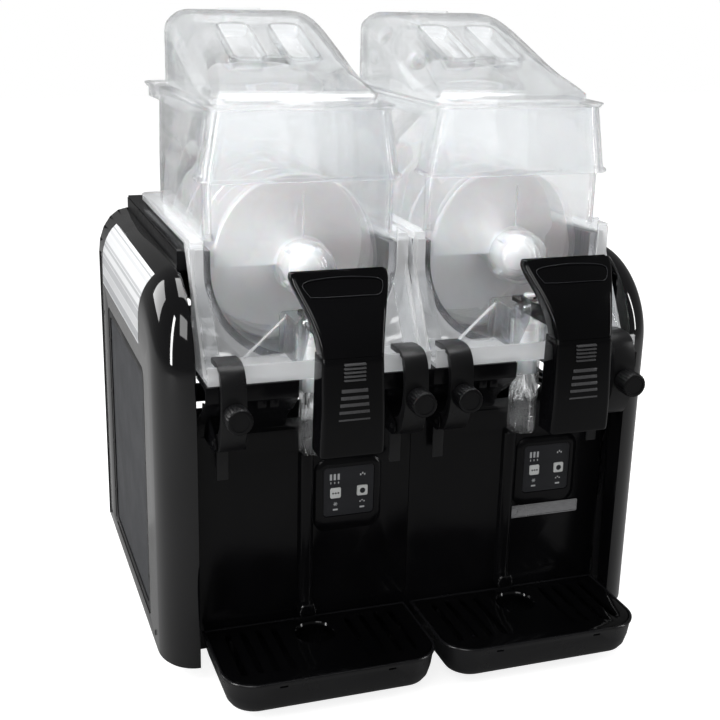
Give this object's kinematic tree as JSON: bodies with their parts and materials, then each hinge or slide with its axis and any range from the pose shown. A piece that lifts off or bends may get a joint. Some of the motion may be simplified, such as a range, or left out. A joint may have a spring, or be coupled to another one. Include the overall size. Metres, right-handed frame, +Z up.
{
  "type": "slush drink dispenser",
  "caption": "Twin-bowl frozen drink dispenser with clear bowls and lids, black casing, pull levers, hooked bowl clamps, augers and slide-out drip trays.",
  "frame": {"origin": "on the floor under the middle of the machine's bounding box", "axes": "+X to the viewer's right, +Y from front to back, +Z up; front towards -Y"},
  "size_m": [0.54, 0.524, 0.663],
  "materials": {
    "base_steel": "satin sheet",
    "foot_rubber": "matt",
    "side_gloss_black": "high gloss",
    "filter_mesh": "fine mesh",
    "rear_black": "matt powder coat",
    "deck_black": "fine texture",
    "compressor_black": "semi-gloss",
    "condenser_fins": "finned",
    "fan_motor_grey": "satin",
    "fan_grey": "satin",
    "front_black": "satin",
    "trough_steel": "polished",
    "motor_grey": "satin",
    "gasket_pale": "matt",
    "bowl_clear": "clear, glossy",
    "lid_clear": "clear, glossy",
    "spring_steel": "drawn wire",
    "plate_grey": "satin film",
    "shaft_steel": "ground",
    "auger_white": "satin",
    "nut_white": "satin",
    "lever_gloss_black": "high gloss",
    "cover_gloss_black": "high gloss",
    "piston_white": "satin",
    "key_white": "satin",
    "tray_black": "satin",
    "grid_black": "satin",
    "clamp_black": "satin",
    "knob_black": "knurled"
  },
  "bodies": {
    "machine": {"base_pan": "base_steel", "foot_front_left": "foot_rubber", "foot_front_right": "foot_rubber", "foot_rear_left": "foot_rubber", "foot_rear_right": "foot_rubber", "side_panel_left": "side_gloss_black", "side_panel_right": "side_gloss_black", "air_filter": "filter_mesh", "rear_panel": "rear_black", "top_deck": "deck_black", "compressor": "compressor_black", "condenser": "condenser_fins", "fan_motor": "fan_motor_grey", "front_panel_left": "front_black", "evaporator_left": "trough_steel", "gear_motor_left": "motor_grey", "bowl_gasket_left": "gasket_pale", "bowl_left": "bowl_clear", "tap_body_left": "bowl_clear", "return_spring_left": "spring_steel", "control_panel_left": "plate_grey", "front_panel_right": "front_black", "evaporator_right": "trough_steel", "gear_motor_right": "motor_grey", "bowl_gasket_right": "gasket_pale", "bowl_right": "bowl_clear", "tap_body_right": "bowl_clear", "return_spring_right": "spring_steel", "control_panel_right": "plate_grey"},
    "auger_left": {"auger_left": "auger_white", "auger_nut_left": "nut_white", "drive_shaft_left": "shaft_steel"},
    "lid_left": {"lid_left": "lid_clear"},
    "lever_left": {"tap_lever_left": "lever_gloss_black", "tap_cover_left": "cover_gloss_black"},
    "piston_left": {"tap_piston_left": "piston_white"},
    "mode_key_left": {"mode_key_left": "key_white"},
    "light_key_left": {"light_key_left": "key_white"},
    "clamp_left_outer": {"clamp_left_outer": "clamp_black"},
    "clamp_knob_left_outer": {"clamp_knob_left_outer": "knob_black"},
    "clamp_left_inner": {"clamp_left_inner": "clamp_black"},
    "clamp_knob_left_inner": {"clamp_knob_left_inner": "knob_black"},
    "tray_left": {"drip_tray_left": "tray_black"},
    "grid_left": {"drip_grid_left": "grid_black"},
    "auger_right": {"auger_right": "auger_white", "auger_nut_right": "nut_white", "drive_shaft_right": "shaft_steel"},
    "lid_right": {"lid_right": "lid_clear"},
    "lever_right": {"tap_lever_right": "lever_gloss_black", "tap_cover_right": "cover_gloss_black"},
    "piston_right": {"tap_piston_right": "piston_white"},
    "mode_key_right": {"mode_key_right": "key_white"},
    "light_key_right": {"light_key_right": "key_white"},
    "clamp_right_outer": {"clamp_right_outer": "clamp_black"},
    "clamp_knob_right_outer": {"clamp_knob_right_outer": "knob_black"},
    "clamp_right_inner": {"clamp_right_inner": "clamp_black"},
    "clamp_knob_right_inner": {"clamp_knob_right_inner": "knob_black"},
    "tray_right": {"drip_tray_right": "tray_black"},
    "grid_right": {"drip_grid_right": "grid_black"},
    "fan": {"fan_blade": "fan_grey"}
  },
  "joints": [
    {"name": "auger_turn_left", "type": "hinge", "parent": "machine", "child": "auger_left", "pos_m": [-0.115, 0.04, 0.4255], "axis": [0, 1, 0], "continuous": true},
    {"name": "lid_lift_left", "type": "slide", "parent": "machine", "child": "lid_left", "axis": [0, 0, 1], "range_m": [0, 0.15]},
    {"name": "lever_pull_left", "type": "hinge", "parent": "machine", "child": "lever_left", "pos_m": [-0.115, -0.168, 0.3875], "axis": [1, 0, 0], "range_deg": [0, 20], "stiffness_Nm_per_rad": 3, "springref_deg": -8.59},
    {"name": "piston_lift_left", "type": "slide", "parent": "machine", "child": "piston_left", "axis": [0, 0, 1], "range_m": [0, 0.0126]},
    {"name": "mode_key_press_left", "type": "slide", "parent": "machine", "child": "mode_key_left", "axis": [0, 1, 0], "range_m": [0, 0.001], "stiffness_N_per_m": 600, "springref_m": -0.0005},
    {"name": "light_key_press_left", "type": "slide", "parent": "machine", "child": "light_key_left", "axis": [0, 1, 0], "range_m": [0, 0.001], "stiffness_N_per_m": 600, "springref_m": -0.0005},
    {"name": "clamp_swing_left_outer", "type": "hinge", "parent": "machine", "child": "clamp_left_outer", "pos_m": [-0.206, -0.158, 0.272], "axis": [1, 0, 0], "range_deg": [0, 70]},
    {"name": "knob_turn_left_outer", "type": "hinge", "parent": "clamp_left_outer", "child": "clamp_knob_left_outer", "pos_m": [-0.206, -0.19, 0.308], "axis": [0, 1, 0], "continuous": true},
    {"name": "clamp_swing_left_inner", "type": "hinge", "parent": "machine", "child": "clamp_left_inner", "pos_m": [-0.024, -0.158, 0.272], "axis": [1, 0, 0], "range_deg": [0, 70]},
    {"name": "knob_turn_left_inner", "type": "hinge", "parent": "clamp_left_inner", "child": "clamp_knob_left_inner", "pos_m": [-0.024, -0.19, 0.308], "axis": [0, 1, 0], "continuous": true},
    {"name": "tray_slide_left", "type": "slide", "parent": "machine", "child": "tray_left", "axis": [0, -1, 0], "range_m": [0, 0.12]},
    {"name": "grid_lift_left", "type": "slide", "parent": "tray_left", "child": "grid_left", "axis": [0, 0, 1], "range_m": [0, 0.05]},
    {"name": "auger_turn_right", "type": "hinge", "parent": "machine", "child": "auger_right", "pos_m": [0.115, 0.04, 0.4255], "axis": [0, 1, 0], "continuous": true},
    {"name": "lid_lift_right", "type": "slide", "parent": "machine", "child": "lid_right", "axis": [0, 0, 1], "range_m": [0, 0.15]},
    {"name": "lever_pull_right", "type": "hinge", "parent": "machine", "child": "lever_right", "pos_m": [0.115, -0.168, 0.3875], "axis": [1, 0, 0], "range_deg": [0, 20], "stiffness_Nm_per_rad": 3, "springref_deg": -8.59},
    {"name": "piston_lift_right", "type": "slide", "parent": "machine", "child": "piston_right", "axis": [0, 0, 1], "range_m": [0, 0.0126]},
    {"name": "mode_key_press_right", "type": "slide", "parent": "machine", "child": "mode_key_right", "axis": [0, 1, 0], "range_m": [0, 0.001], "stiffness_N_per_m": 600, "springref_m": -0.0005},
    {"name": "light_key_press_right", "type": "slide", "parent": "machine", "child": "light_key_right", "axis": [0, 1, 0], "range_m": [0, 0.001], "stiffness_N_per_m": 600, "springref_m": -0.0005},
    {"name": "clamp_swing_right_outer", "type": "hinge", "parent": "machine", "child": "clamp_right_outer", "pos_m": [0.024, -0.158, 0.272], "axis": [1, 0, 0], "range_deg": [0, 70]},
    {"name": "knob_turn_right_outer", "type": "hinge", "parent": "clamp_right_outer", "child": "clamp_knob_right_outer", "pos_m": [0.024, -0.19, 0.308], "axis": [0, 1, 0], "continuous": true},
    {"name": "clamp_swing_right_inner", "type": "hinge", "parent": "machine", "child": "clamp_right_inner", "pos_m": [0.206, -0.158, 0.272], "axis": [1, 0, 0], "range_deg": [0, 70]},
    {"name": "knob_turn_right_inner", "type": "hinge", "parent": "clamp_right_inner", "child": "clamp_knob_right_inner", "pos_m": [0.206, -0.19, 0.308], "axis": [0, 1, 0], "continuous": true},
    {"name": "tray_slide_right", "type": "slide", "parent": "machine", "child": "tray_right", "axis": [0, -1, 0], "range_m": [0, 0.12]},
    {"name": "grid_lift_right", "type": "slide", "parent": "tray_right", "child": "grid_right", "axis": [0, 0, 1], "range_m": [0, 0.05]},
    {"name": "fan_turn", "type": "hinge", "parent": "machine", "child": "fan", "pos_m": [-0.21, 0.0725, 0.173], "axis": [1, 0, 0], "continuous": true}
  ],
  "couplings": [
    {"joint": "piston_lift_left", "follows": "lever_pull_left", "m_per_rad": 0.0355},
    {"joint": "piston_lift_right", "follows": "lever_pull_right", "m_per_rad": 0.0355}
  ]
}
